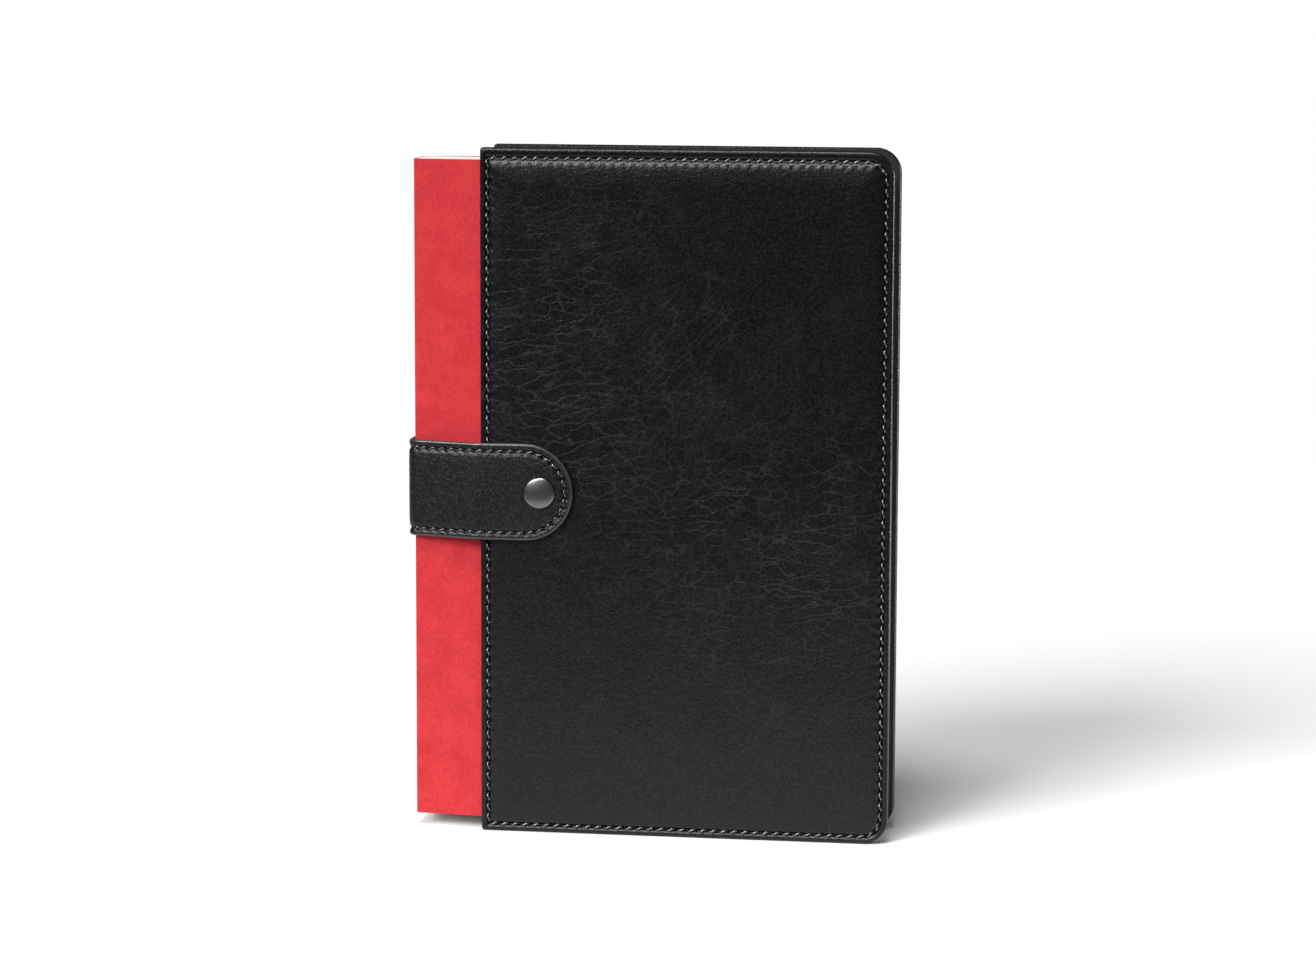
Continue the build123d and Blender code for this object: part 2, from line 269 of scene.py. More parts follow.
# ---- materials ----
class Shader:
    """A small helper that builds one node material around a Principled BSDF."""

    def __init__(self, name, **inputs):
        self.material = bpy.data.materials.new(name)
        self.material.use_nodes = True
        self.tree = self.material.node_tree
        self.surface = self.tree.nodes["Principled BSDF"]
        for socket, value in inputs.items():
            self.surface.inputs[socket.replace("_", " ")].default_value = value

    def node(self, kind, links=None, **settings):
        """A node with some sockets linked or set; the rest of settings are its properties."""
        made = self.tree.nodes.new(kind)
        for key, value in settings.items():
            setattr(made, key, value)
        for key, value in (links or {}).items():
            if isinstance(value, bpy.types.NodeSocket):
                self.tree.links.new(value, made.inputs[key])
            else:
                made.inputs[key].default_value = value
        return made

    def place(self, stretch=(1.0, 1.0, 1.0), turn=(0.0, 0.0, 0.0)):
        """The object's own coordinates in millimetres, stretched along turned axes."""
        coordinates = self.node("ShaderNodeTexCoord")
        mapping = self.node("ShaderNodeMapping", {
            "Vector": coordinates.outputs["Object"],
            "Rotation": turn,
            "Scale": tuple(MM * s for s in stretch),
        }, vector_type="TEXTURE")
        return mapping.outputs["Vector"]

    def noise(self, place, wavelength, detail=3.0, roughness=0.5, output="Fac"):
        """Cloudy noise, 0 to 1, with this wavelength in millimetres."""
        made = self.node("ShaderNodeTexNoise", {
            "Vector": place, "Scale": 1 / wavelength, "Detail": detail, "Roughness": roughness,
        })
        return made.outputs[output]

    def math(self, operation, a, b=0.0, clamp=False):
        """One sum on values."""
        made = self.node("ShaderNodeMath", {0: a, 1: b}, operation=operation, use_clamp=clamp)
        return made.outputs["Value"]

    def vector_math(self, operation, links, output="Vector"):
        """One sum on vectors."""
        return self.node("ShaderNodeVectorMath", links, operation=operation).outputs[output]

    def ramp(self, value, low, high):
        """0 below low, 1 above high and smooth between them."""
        made = self.node("ShaderNodeMapRange", {
            "Value": value, "From Min": low, "From Max": high,
        }, interpolation_type="SMOOTHSTEP")
        return made.outputs["Result"]

    def spread(self, value, low, high, to_low, to_high):
        """A value's stretch from low to high, moved to the one from to_low to to_high."""
        made = self.node("ShaderNodeMapRange", {
            "Value": value, "From Min": low, "From Max": high,
            "To Min": to_low, "To Max": to_high,
        })
        return made.outputs["Result"]

    def mix_color(self, factor, a, b):
        """Colour a where factor is 0 and colour b where it is 1."""
        made = self.node("ShaderNodeMix", data_type="RGBA")
        sockets = {socket.name: socket for socket in made.inputs if socket.enabled}
        for name, value in (("Factor", factor), ("A", a), ("B", b)):
            if isinstance(value, bpy.types.NodeSocket):
                self.tree.links.new(value, sockets[name])
            else:
                sockets[name].default_value = value
        return [socket for socket in made.outputs if socket.enabled][0]

    def mix_value(self, factor, a, b):
        """Value a where factor is 0 and value b where it is 1."""
        made = self.node("ShaderNodeMix", {0: factor, 2: a, 3: b}, data_type="FLOAT")
        return made.outputs[0]

    def bump(self, height, distance, strength=1.0, after=None):
        """A normal that shows a height of up to distance millimetres, on top of another one."""
        links = {"Height": height, "Distance": distance * MM, "Strength": strength}
        if after is not None:
            links["Normal"] = after
        return self.node("ShaderNodeBump", links).outputs["Normal"]

    def set(self, socket, value):
        """Link one input of the surface."""
        self.tree.links.new(value, self.surface.inputs[socket])


def grey(value):
    """A near-neutral grey, a little cool."""
    return (value, value * 0.98, value * 1.12, 1.0)


def crease_lines(shader, spacing, stretch, turn, width):
    """Thin wandering lines, as leather's creases run: 1 on a line and 0 off it."""
    place = shader.place()
    moved = shader.place(stretch=(stretch, 1.0, 1.0), turn=(0.0, turn, 0.0))
    wander = ((45.0, 16.0), (spacing * 1.4, spacing * 0.7), (1.6, 0.5))
    for wavelength, push in wander:
        drift = shader.noise(place, wavelength, detail=2.0, output="Color")
        centred = shader.vector_math("SUBTRACT", {0: drift, 1: (0.5, 0.5, 0.5)})
        pushed = shader.vector_math("SCALE", {0: centred, "Scale": push})
        moved = shader.vector_math("ADD", {0: moved, 1: pushed})
    cells = shader.node("ShaderNodeTexVoronoi", {"Vector": moved, "Scale": 1 / spacing},
                        feature="DISTANCE_TO_EDGE").outputs["Distance"]
    return shader.math("SUBTRACT", 1.0, shader.ramp(cells, 0.0, width))


def patch(shader, along, up, radius):
    """1 near a place on the front sleeve's face and 0 away from it."""
    coordinates = shader.node("ShaderNodeTexCoord").outputs["Object"]
    centre = Vector((panel_left + along, front_face, up)) * MM
    away = shader.vector_math("DISTANCE", {0: coordinates, 1: centre}, output="Value")
    return shader.math("SUBTRACT", 1.0, shader.ramp(away, 0.2 * radius * MM, radius * MM))


def creases(shader, place):
    """How creased each place on a sleeve is: long lines, sloping ones, and short ones between."""
    long_lines = crease_lines(shader, spacing=3.6, stretch=3.0, turn=-0.12, width=0.045)
    sloping_lines = crease_lines(shader, spacing=3.4, stretch=3.2, turn=-0.82, width=0.05)
    short_lines = crease_lines(shader, spacing=1.7, stretch=1.8, turn=0.3, width=0.07)
    slope = patch(shader, along=78, up=158, radius=52)
    lines = shader.mix_value(slope, long_lines, sloping_lines)
    some = shader.ramp(shader.noise(place, 21.0), 0.33, 0.5)
    broken = shader.ramp(shader.noise(place, 5.0), 0.26, 0.46)
    lines = shader.math("MULTIPLY", lines, shader.math("MULTIPLY", some, broken))
    some_short = shader.ramp(shader.noise(place, 12.0), 0.42, 0.58)
    short_lines = shader.math("MULTIPLY", short_lines, some_short)
    lines = shader.math("ADD", lines, shader.math("MULTIPLY", short_lines, 0.45), clamp=True)
    worn = shader.math(
        "MAXIMUM",
        patch(shader, along=32, up=150, radius=84),
        patch(shader, along=95, up=92, radius=66),
    )
    worn = shader.math("ADD", shader.math("MULTIPLY", worn, 0.8), 0.2)
    return shader.math("MULTIPLY", lines, worn)


def leather(name, shade, roughness, grain, grain_depth, creased=False):
    """Black leather: pebbled grain, speckle, uneven polish and fine creases, and painted shade
    that darkens its needle holes.
    """
    shader = Shader(name, Specular_Tint=(0.97, 0.95, 1.0, 1.0))
    place = shader.place()
    pebbles = shader.node("ShaderNodeTexVoronoi", {
        "Vector": place, "Scale": 1 / grain, "Randomness": 1.0,
    }, feature="SMOOTH_F1").outputs["Distance"]
    fine = shader.noise(place, grain * 0.6, roughness=0.6)
    grain_height = shader.math("ADD", pebbles, shader.math("MULTIPLY", fine, 1.2))
    normal = shader.bump(grain_height, grain_depth)
    speckle = shader.ramp(shader.noise(place, grain * 0.9, roughness=0.6), 0.42, 0.7)
    colour = shader.mix_color(speckle, grey(shade * 0.15), grey(shade * 3.1))
    if creased:
        lines = creases(shader, place)
        normal = shader.bump(lines, 0.025, strength=0.8, after=normal)
        colour = shader.mix_color(lines, colour, grey(0.018))
    # painted shade: where the mesh marks a needle hole, the colour goes to black and the
    # reflection nearly off, as if no light got in
    hole_shade = shader.node("ShaderNodeAttribute", attribute_name="hole_shade").outputs["Fac"]
    painted_hole_shade = shader.ramp(hole_shade, 0.12, 0.5)
    clouds = shader.noise(place, 24.0)
    polish = shader.spread(clouds, 0.3, 0.7, roughness - 0.02, roughness + 0.03)
    shader.set("Base Color", shader.mix_color(painted_hole_shade, colour, (0.0, 0.0, 0.0, 1.0)))
    shader.set("Normal", normal)
    shader.set("Specular IOR Level", shader.mix_value(painted_hole_shade, 0.36, 0.04))
    shader.set("Roughness", polish)
    return shader.material


def thread_material():
    """Waxed black thread with a fine twist."""
    shader = Shader("black_thread", Roughness=0.2, Specular_IOR_Level=0.9, IOR=1.75)
    twist = shader.noise(shader.place((0.5, 0.5, 0.5)), 0.5, detail=2.0)
    shader.set("Base Color", shader.mix_color(twist, grey(0.012), grey(0.045)))
    shader.set("Normal", shader.bump(twist, 0.05))
    return shader.material


def strap_edge_material():
    """Edge paint: smooth dark grey, a little uneven."""
    shader = Shader("strap_edge_paint", Roughness=0.28, Specular_IOR_Level=0.6)
    uneven = shader.noise(shader.place(), 1.6)
    colour = shader.mix_color(uneven, (0.02, 0.02, 0.02, 1.0), (0.05, 0.05, 0.05, 1.0))
    shader.set("Base Color", colour)
    shader.set("Normal", shader.bump(uneven, 0.05))
    return shader.material


def red_paper_material():
    """Uncoated red cover paper with a faint fibre mottle."""
    shader = Shader("red_cover_paper", Roughness=0.72, Specular_IOR_Level=0.2)
    fibres = shader.noise(shader.place((1.0, 1.0, 1.6)), 0.9, detail=6.0, roughness=0.7)
    clouds = shader.noise(shader.place(), 9.0, detail=4.0, roughness=0.6)
    mottle = shader.math("ADD", shader.math("MULTIPLY", fibres, 0.55),
                         shader.math("MULTIPLY", clouds, 0.45))
    colour = shader.mix_color(shader.ramp(mottle, 0.35, 0.65),
                              (0.44, 0.019, 0.026, 1.0), (0.56, 0.034, 0.042, 1.0))
    shader.set("Base Color", colour)
    shader.set("Normal", shader.bump(fibres, 0.03))
    return shader.material


def page_material():
    """Cut paper: fine lines where the sheets' edges show."""
    along_sheets = 1e5       # so long a stretch that the noise changes only from sheet to sheet
    shader = Shader("page_paper", Roughness=0.8, Specular_IOR_Level=0.2)
    sheets = shader.noise(shader.place((along_sheets, 0.12, along_sheets)), 1.0, detail=2.0)
    fibres = shader.noise(shader.place(), 0.7, detail=4.0)
    colour = shader.mix_color(shader.ramp(sheets, 0.3, 0.65),
                              (0.66, 0.64, 0.59, 1.0), (0.9, 0.89, 0.86, 1.0))
    shader.set("Base Color", colour)
    shader.set("Normal", shader.bump(shader.math("ADD", sheets, fibres), 0.04))
    return shader.material


def metal_material(name, shade, roughness):
    """Satin plated metal with fine unevenness."""
    shader = Shader(name, Metallic=1.0, Roughness=roughness)
    uneven = shader.noise(shader.place(), 0.9, detail=4.0, roughness=0.6)
    dark = (shade * 0.85,) * 3 + (1.0,)
    light = (shade * 1.15,) * 3 + (1.0,)
    shader.set("Base Color", shader.mix_color(uneven, dark, light))
    shader.set("Normal", shader.bump(uneven, 0.015))
    shader.set("Roughness", shader.spread(uneven, 0.0, 1.0, roughness - 0.04, roughness + 0.06))
    return shader.material


def woven_material(name, dark, light, pitch):
    """Plain woven cloth, for the lining and the gauze on the spine."""
    shader = Shader(name, Roughness=0.8, Specular_IOR_Level=0.2)
    warp, weft = (
        shader.node("ShaderNodeTexWave", {
            "Vector": shader.place(), "Scale": 1 / pitch * 0.3, "Distortion": 0.6,
        }, wave_type="BANDS", bands_direction=axis).outputs["Fac"]
        for axis in ("X", "Z")
    )
    weave = shader.math("MULTIPLY", warp, weft)
    shader.set("Base Color", shader.mix_color(weave, dark, light))
    shader.set("Normal", shader.bump(weave, 0.05))
    return shader.material


def foam_material():
    """Grey open foam."""
    shader = Shader("foam", Roughness=0.9, Specular_IOR_Level=0.1)
    cells = shader.node("ShaderNodeTexVoronoi", {"Vector": shader.place(), "Scale": 2.5},
                        feature="DISTANCE_TO_EDGE").outputs["Distance"]
    shader.set("Base Color", shader.mix_color(cells, grey(0.06), grey(0.16)))
    shader.set("Normal", shader.bump(cells, 0.1))
    return shader.material


def board_material():
    """Grey stiffener board with flecks."""
    shader = Shader("stiffener_board", Roughness=0.85, Specular_IOR_Level=0.2)
    flecks = shader.noise(shader.place(), 0.6, detail=5.0, roughness=0.7)
    colour = shader.mix_color(shader.ramp(flecks, 0.35, 0.7),
                              (0.24, 0.22, 0.2, 1.0), (0.4, 0.38, 0.35, 1.0))
    shader.set("Base Color", colour)
    shader.set("Normal", shader.bump(flecks, 0.03))
    return shader.material


materials = {
    "sleeve_leather": leather("sleeve_leather", shade=0.0026, roughness=0.28,
                              grain=0.8, grain_depth=0.06, creased=True),
    "pocket_leather": leather("pocket_leather", shade=0.008, roughness=0.45,
                              grain=0.6, grain_depth=0.05),
    "strap_leather": leather("strap_leather", shade=0.005, roughness=0.36,
                             grain=0.9, grain_depth=0.1),
    "strap_lining": leather("strap_lining", shade=0.012, roughness=0.5,
                            grain=0.6, grain_depth=0.05),
    "thread": thread_material(),
    "strap_edge": strap_edge_material(),
    "red_cover_paper": red_paper_material(),
    "page_paper": page_material(),
    "dark_nickel": metal_material("dark_nickel", shade=0.2, roughness=0.27),
    "snap_steel": metal_material("snap_steel", shade=0.5, roughness=0.3),
    "sleeve_lining": woven_material("sleeve_lining", grey(0.008), grey(0.03), pitch=0.35),
    "spine_mull": woven_material("spine_mull", (0.5, 0.47, 0.4, 1.0), (0.78, 0.75, 0.68, 1.0),
                                 pitch=0.6),
    "foam": foam_material(),
    "stiffener_board": board_material(),
}

# the CAD nodes that stay get their own finish
slot_of_node = {
    subpart["node"]: subpart["material_slot"] for subpart in frame["record"]["subparts"]
}
for node_name, node in frame["nodes"].items():
    for material_slot in node.material_slots:
        material_slot.material = materials[slot_of_node[node_name]]


# ---- outlines ----
def side_points(length, start_radius, end_radius, count):
    """Points along one side, evenly spaced from the middle of one corner to the next one's.

    They are given along the side and in from it.
    """
    quarter = math.pi / 4
    start_arc = start_radius * quarter
    end_arc = end_radius * quarter
    straight = length - start_radius - end_radius
    walked = np.arange(count) / count * (start_arc + straight + end_arc)
    along = start_radius + walked - start_arc
    inward = np.zeros(count)
    if start_radius > 0:
        turn = quarter - np.minimum(walked, start_arc) / start_radius
        early = walked < start_arc
        along = np.where(early, start_radius * (1 - np.sin(turn)), along)
        inward = np.where(early, start_radius * (1 - np.cos(turn)), inward)
    if end_radius > 0:
        turn = np.maximum(walked - start_arc - straight, 0.0) / end_radius
        late = walked > start_arc + straight
        along = np.where(late, length - end_radius + end_radius * np.sin(turn), along)
        inward = np.where(late, end_radius * (1 - np.cos(turn)), inward)
    return along, inward


def sleeve_ring(inset):
    """The sleeve's outline moved inward, from its bottom corner at the spine, anticlockwise."""
    left = panel_left + inset
    right = sleeve_high.x - inset
    bottom = sleeve_low.z + inset
    top = sleeve_high.z - inset
    top -= TOP_SEAM_DROP * float(smoothstep(TOP_DROP_FROM, TOP_DROP_TO, inset))
    spine = max(SPINE_RADIUS - inset, 0.0)
    fore = max(FORE_RADIUS - inset, 0.0)
    along, inward = side_points(right - left, spine, fore, ACROSS)
    bottom_side = np.column_stack([left + along, bottom + inward])
    along, inward = side_points(top - bottom, fore, fore, UP)
    fore_side = np.column_stack([right - inward, bottom + along])
    along, inward = side_points(right - left, fore, spine, ACROSS)
    top_side = np.column_stack([right - along, top - inward])
    along, inward = side_points(top - bottom, spine, spine, UP)
    spine_side = np.column_stack([left + inward, top - along])
    return np.concatenate([bottom_side, fore_side, top_side, spine_side])


def stitches_on(length, pitch):
    """How many whole stitches fit a length best."""
    return max(1, round(length / pitch))


# points along a sleeve's bottom and top, and along its sides
ACROSS = stitches_on(panel_width - 2 * SEAM_INSET, STITCH_PITCH) * POINTS_PER_STITCH
UP = stitches_on(panel_height - 2 * SEAM_INSET, STITCH_PITCH) * POINTS_PER_STITCH


def stitch_wave(count):
    """1 at each needle hole along a row of points and -1 midway between two holes."""
    return np.cos(2 * math.pi * np.arange(count) / POINTS_PER_STITCH)


def needle_holes(count, inset, seam_inset, reach):
    """1 at each needle hole along a row of points, 0 between them and away from the seam."""
    across_seam = math.exp(-((inset - seam_inset) / reach) ** 2)
    return across_seam * (0.5 + 0.5 * stitch_wave(count)) ** HOLE_SHARPNESS


def pucker(count, inset):
    """How much the padding beside the sleeve's seam is pulled in opposite each needle hole."""
    across_seam = math.exp(-((inset - PUCKER_INSET) / PUCKER_REACH) ** 2)
    return PUCKER_DEPTH * across_seam * stitch_wave(count)


# ---- sleeves ----
def sleeve_rows():
    """The rings of a sleeve's section, as x, z and depth, and how much of a hole each point is."""
    rows, holes = [], []
    for inset, depth, open_depth in SLEEVE_SECTION:
        ring = sleeve_ring(inset)
        in_slot = (
            (ring[:, 0] < panel_left + SLOT_BAND)
            & (ring[:, 1] > sleeve_low.z + SLOT_MARGIN)
            & (ring[:, 1] < sleeve_high.z - SLOT_MARGIN)
        )
        hole = needle_holes(len(ring), inset, SEAM_INSET, SLEEVE_HOLE_REACH)
        sunk = np.where(in_slot, open_depth, depth) + hole * SLEEVE_HOLE_DEPTH
        rows.append(np.column_stack([ring, sunk + pucker(len(ring), inset)]))
        holes.append(hole)
    return rows, holes


def swell(points, seed):
    """Make the padding uneven; it fades out toward the seam."""
    x, z = points[:, 0], points[:, 1]
    inset = np.minimum.reduce([
        x - panel_left, sleeve_high.x - x,
        z - sleeve_low.z, sleeve_high.z - z,
    ])
    padded = smoothstep(SWELL_FROM, SWELL_TO, inset)
    for height, wavelength, added_seed in SWELLS:
        points[:, 2] += padded * height * soft_noise(x, z, wavelength, seed + added_seed)


def sleeve_faces(row_count, ring_size):
    """The faces of one sleeve: its hidden back, its rings and the grid of its padded middle."""
    faces = [tuple(range(ring_size - 1, -1, -1))]
    for row in range(row_count - 1):
        faces += ring_faces(row * ring_size, ring_size)
    rim = (row_count - 1) * ring_size
    inner = row_count * ring_size

    def corner(i, j):
        """The point in column i and level j of the padded middle, its rim included."""
        if j == 0:
            return rim + i
        if i == ACROSS:
            return rim + ACROSS + j
        if j == UP:
            return rim + ACROSS + UP + (ACROSS - i)
        if i == 0:
            return rim + (2 * ACROSS + UP + (UP - j)) % ring_size
        return inner + (j - 1) * (ACROSS - 1) + (i - 1)

    for j in range(UP):
        for i in range(ACROSS):
            faces.append((corner(i, j), corner(i + 1, j), corner(i + 1, j + 1), corner(i, j + 1)))
    return faces


def sleeve_skin(name, face_y, inward, dimpled, seed):
    """The outer leather of one sleeve, as one closed padded form."""
    rows, holes = sleeve_rows()
    columns = rows[-1][:ACROSS + 1, 0]
    levels = rows[-1][ACROSS:ACROSS + UP + 1, 1]
    inner_x, inner_z = np.meshgrid(columns[1:-1], levels[1:-1])
    inner = np.column_stack([inner_x.ravel(), inner_z.ravel(), np.full(inner_x.size, CROWN)])
    points = np.concatenate([*rows, inner])
    # these marks put painted shade into the needle holes
    hole_shade_marks = np.concatenate([*holes, np.zeros(len(inner))])
    swell(points, seed)
    if dimpled:
        from_snap = np.hypot(points[:, 0] - snap_x, points[:, 1] - strap_z)
        points[:, 2] += DIMPLE_DEPTH * (1 - smoothstep(DIMPLE_FLOOR, DIMPLE_RIM, from_snap))

    faces = sleeve_faces(len(rows), len(rows[0]))
    if inward < 0:
        faces = [tuple(reversed(face)) for face in faces]
    placed = np.column_stack([points[:, 0], face_y + inward * points[:, 2], points[:, 1]])
    return make_object(name, placed, faces, [materials["sleeve_leather"]], hole_shade_marks=hole_shade_marks)


def thread_tubes(name, starts, ends, sideways, outward, width, slant, rise, dive):
    """One short arched length of thread between each pair of needle holes, all in one mesh.

    Each one leans to one side of the seam and dives back into a hole at both ends.
    """
    u = np.linspace(0.0, 1.0, THREAD_RINGS)
    from_middle = 2 * u - 1
    arch = rise - (rise + dive) * np.abs(from_middle) ** THREAD_ARCH
    lean = slant * np.sin(math.pi * from_middle)
    centre = (
        starts[:, None] * (1 - u)[None, :, None]
        + ends[:, None] * u[None, :, None]
        + outward[:, None] * arch[None, :, None]
        + sideways[:, None] * lean[None, :, None]
    )
    # the radius grows from 0.4 of the width at a hole to half of it in the middle
    radius = width * (0.4 + 0.1 * np.sin(math.pi * u))
    angles = 2 * math.pi * np.arange(THREAD_SIDES) / THREAD_SIDES
    to_side = (radius[:, None] * np.cos(angles))[None, :, :, None]
    to_front = (radius[:, None] * np.sin(angles))[None, :, :, None]
    circle = sideways[:, None, None] * to_side + outward[:, None, None] * to_front
    points = (centre[:, :, None] + circle).reshape(-1, 3)
    faces = []
    for stitch in range(len(starts)):
        first = stitch * THREAD_RINGS * THREAD_SIDES
        last = first + (THREAD_RINGS - 1) * THREAD_SIDES
        faces.append(tuple(range(first, first + THREAD_SIDES)))
        for ring in range(first, last, THREAD_SIDES):
            faces += ring_faces(ring, THREAD_SIDES, flipped=True)
        faces.append(tuple(reversed(range(last, last + THREAD_SIDES))))
    return make_object(name, points, faces, [materials["thread"]])


def panel_stitches(name, face_y, inward, on_pocket=False):
    """The thread seen along one sleeve's seam, on its outer face or on its pocket side.

    The pocket side has none along the slot's open side.
    """
    starts = sleeve_ring(SEAM_INSET)[::POINTS_PER_STITCH]
    ends = np.roll(starts, -1, axis=0)
    if on_pocket:
        upright = np.abs(starts[:, 0] - ends[:, 0]) < STITCH_PITCH / 2
        at_spine = starts[:, 0] < panel_left + 2 * SEAM_INSET
        kept = ~(upright & at_spine)
        starts, ends = starts[kept], ends[kept]
    along = ends - starts
    along /= np.linalg.norm(along, axis=1)[:, None]
    level = np.zeros(len(starts))
    y = level + face_y + inward * (POCKET_SEAM_DEPTH if on_pocket else PANEL_SEAM_DEPTH)
    outward = np.column_stack([level, level + (inward if on_pocket else -inward), level])
    return thread_tubes(
        name,
        np.column_stack([starts[:, 0], y, starts[:, 1]]),
        np.column_stack([ends[:, 0], y, ends[:, 1]]),
        np.column_stack([-along[:, 1], level, along[:, 0]]),
        outward,
        **(POCKET_THREAD if on_pocket else PANEL_THREAD),
    )


for side, face_y, inward, seed in (("front", front_face, 1, 3.0), ("back", back_face, -1, 11.0)):
    body = f"{side}_cover"
    skin = sleeve_skin(f"{side}_sleeve_skin", face_y, inward, side == "front", seed)
    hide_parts(f"{side}_outer_leather")
    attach(skin, body)
    seam = panel_stitches(f"{side}_sleeve_stitches", face_y, inward)
    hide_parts(f"{side}_panel_stitching")
    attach(seam, body)
    inner_seam = panel_stitches(f"{side}_pocket_stitches", face_y, inward, on_pocket=True)
    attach(inner_seam, body)


# ---- ribbons that follow a line seen from above ----
def rounded_corner(before, here, after, radius, step):
    """Points on the arc that rounds the corner at here between its two neighbours."""
    back = (before - here) / np.linalg.norm(before - here)
    ahead = (after - here) / np.linalg.norm(after - here)
    half = math.acos(np.clip(back @ ahead, -1, 1)) / 2
    reach = radius / math.tan(half)
    to_centre = (back + ahead) / np.linalg.norm(back + ahead) * radius / math.sin(half)
    start = back * reach - to_centre
    end = ahead * reach - to_centre
    sweep = math.atan2(start[0] * end[1] - start[1] * end[0], start @ end)
    count = max(3, int(abs(sweep) * radius / step))
    for angle in np.linspace(0, sweep, count):
        turn = np.array([[math.cos(angle), -math.sin(angle)], [math.sin(angle), math.cos(angle)]])
        yield here + to_centre + turn @ start


class PlanPath:
    """A line seen from above with rounded corners, measured along its length."""

    def __init__(self, corners, radii, step=0.1):
        corners = [np.array(corner, float) for corner in corners]
        points = [corners[0]]
        for before, here, after, radius in zip(corners, corners[1:], corners[2:], radii):
            points.extend(rounded_corner(before, here, after, radius, step))
        points.append(corners[-1])
        dense = [points[0]]
        for start, end in zip(points, points[1:]):
            count = max(1, int(np.linalg.norm(end - start) / step))
            dense.extend(start + (end - start) * t for t in np.arange(1, count + 1) / count)
        self.points = np.array(dense)
        lengths = np.linalg.norm(np.diff(self.points, axis=0), axis=1)
        self.walked = np.concatenate([[0.0], np.cumsum(lengths)])
        self.length = self.walked[-1]
        tangents = np.gradient(self.points, self.walked, axis=0)
        tangents /= np.linalg.norm(tangents, axis=1)[:, None]
        self.normals = np.column_stack([-tangents[:, 1], tangents[:, 0]])

    def at(self, walked, out):
        """Points on the line, moved outward from it."""
        place = [np.interp(walked, self.walked, self.points[:, k]) for k in (0, 1)]
        normal = np.array([np.interp(walked, self.walked, self.normals[:, k]) for k in (0, 1)])
        normal /= np.linalg.norm(normal, axis=0)
        return place[0] + normal[0] * out, place[1] + normal[1] * out

    def nearest(self, x, y):
        """How far along the line its point nearest to a place is."""
        return self.walked[np.argmin(np.hypot(self.points[:, 0] - x, self.points[:, 1] - y))]


# ---- strap ----
FLAP_GAP = 0.45          # between the strap's lining and the front sleeve's face
TAB_GAP = 0.3            # the same at the back sleeve
SPINE_GAP = 0.1          # the same at the notebook's spine
CORNER_GAP = 0.9         # how far past the spine's sides the strap's corners lie
BEND_RADIUS = 5.0        # where the strap leaves a sleeve
CORNER_RADIUS = 1.7      # where it turns round the spine
FRONT_BEND_OUT = 0.6     # how far outside the front sleeve the strap turns toward the spine
BACK_BEND_OUT = 0.3      # the same at the back sleeve
FLAP_STRETCH_OUT = 11.0  # the flap's stretch ends this far outside the front sleeve
FLAP_STRETCH_IN = 2.0    # and about this far behind its face
FLAP_BEND = 2.5          # to each side of the flap's hinge, the length a bend would cover; nothing bends the strap
BEND_INSIDE = 4.0        # at the spine a stretch's bend would start this far inside the spine's side
BEND_OUTSIDE = 1.5       # to this far outside it
BEND_ACROSS = 5.5        # and this far toward the sleeve

flap_y = front_face - FLAP_GAP
tab_y = back_face + TAB_GAP
spine_out = spine_low.x - SPINE_GAP
strap_path = PlanPath(
    [
        (flap_high.x, flap_y),
        (panel_left - FRONT_BEND_OUT, flap_y),
        (spine_out, spine_low.y - CORNER_GAP),
        (spine_out, spine_high.y + CORNER_GAP),
        (panel_left - BACK_BEND_OUT, tab_y),
        (tab_end, tab_y),
    ],
    (BEND_RADIUS, CORNER_RADIUS, CORNER_RADIUS, BEND_RADIUS),
)
bridge_split = strap_path.nearest(panel_left - FLAP_STRETCH_OUT, front_face + FLAP_STRETCH_IN)
spine_split = strap_path.nearest(spine_out, spine_middle)


def strap_runs(near, far, round_end, radius, points_per_stitch):
    """A stretch's outline at this distance from its middle line, as distances along and across.

    It goes from far along the lower edge, round the end at near and back along the upper edge.
    Without a round end each edge is a run of its own.
    """
    forward = 1 if far > near else -1
    straight_start = near + (strap_half * forward if round_end else 0.0)
    count = stitches_on(abs(far - straight_start), STRAP_PITCH) * points_per_stitch
    straight = far + (straight_start - far) * np.arange(count + 1) / count
    lower = (straight, np.full(len(straight), -radius))
    upper = (straight[::-1], np.full(len(straight), radius))
    if not round_end:
        return [lower, upper]
    arc_length = math.pi * (strap_half - STRAP_SEAM_INSET)
    count = stitches_on(arc_length, STRAP_PITCH) * points_per_stitch
    theta = np.pi * np.arange(1, count) / count - np.pi / 2
    arc = (straight_start - forward * radius * np.cos(theta), radius * np.sin(theta))
    return [tuple(np.concatenate(parts) for parts in zip(lower, arc, upper))]


def strap_slot(row):
    """The finish of the faces between a row of the strap's section and the next."""
    if row in STRAP_EDGE_ROWS:
        return EDGE_SLOT
    return LINING_SLOT if row < STRAP_EDGE_ROWS.start else LEATHER_SLOT


